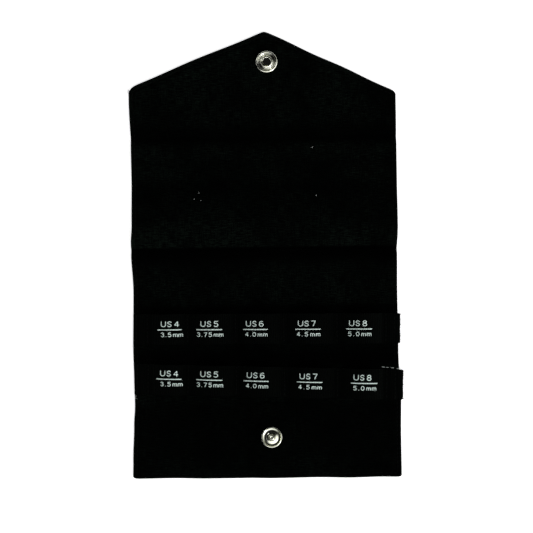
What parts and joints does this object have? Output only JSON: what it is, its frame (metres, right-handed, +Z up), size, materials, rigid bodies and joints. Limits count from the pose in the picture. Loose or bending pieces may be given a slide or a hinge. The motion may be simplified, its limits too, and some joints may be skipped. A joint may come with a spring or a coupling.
{
  "type": "interchangeable needle case",
  "caption": "Black cloth fold-over case for interchangeable knitting needle tips, open flat, with size-marked loop tapes and a press stud at the point of its flap.",
  "frame": {"origin": "on the table under the spine's centre line, in line with the two snaps", "axes": "+X across the case to the right of its open inner face, +Y from the stud to the flap's point, +Z up out of the inner face"},
  "size_m": [0.1628, 0.268, 0.007],
  "materials": {
    "cover_cloth": "black plain-weave cotton",
    "lining_cloth": "black cotton with fine crosswise ribs",
    "patch_cloth": "stiff black interfacing",
    "loop_tape": "black ribbed grosgrain tape with white woven size marks",
    "thread": "black spun polyester thread",
    "nickel": "bright nickel plate"
  },
  "bodies": {
    "back_panel": {"back_cover": "cover_cloth", "back_lining": "lining_cloth", "snap_patch": "patch_cloth", "back_edge_stitching": "thread", "upper_loop_tape": "loop_tape", "lower_loop_tape": "loop_tape", "upper_tape_stitching": "thread", "lower_tape_stitching": "thread", "snap_stud": "nickel", "stud_eyelet": "nickel"},
    "spine": {"spine_cover": "cover_cloth", "spine_lining": "lining_cloth", "spine_edge_stitching": "thread"},
    "flap": {"flap_cover": "cover_cloth", "flap_lining": "lining_cloth", "flap_edge_stitching": "thread"},
    "flap_tip": {"tip_cover": "cover_cloth", "tip_lining": "lining_cloth", "tip_edge_stitching": "thread", "snap_socket": "nickel", "snap_cap": "nickel"}
  },
  "joints": [
    {"name": "spine_lower_fold", "type": "hinge", "parent": "back_panel", "child": "spine", "pos_m": [0, -0.00475, 0.0011], "axis": [1, 0, 0], "range_deg": [0, 90]},
    {"name": "spine_upper_fold", "type": "hinge", "parent": "spine", "child": "flap", "pos_m": [0, 0.00475, 0.0011], "axis": [1, 0, 0], "range_deg": [0, 90]},
    {"name": "tip_fold", "type": "hinge", "parent": "flap", "child": "flap_tip", "pos_m": [0, 0.0681, 0.0011], "axis": [1, 0, 0], "range_deg": [0, 4.49]}
  ]
}
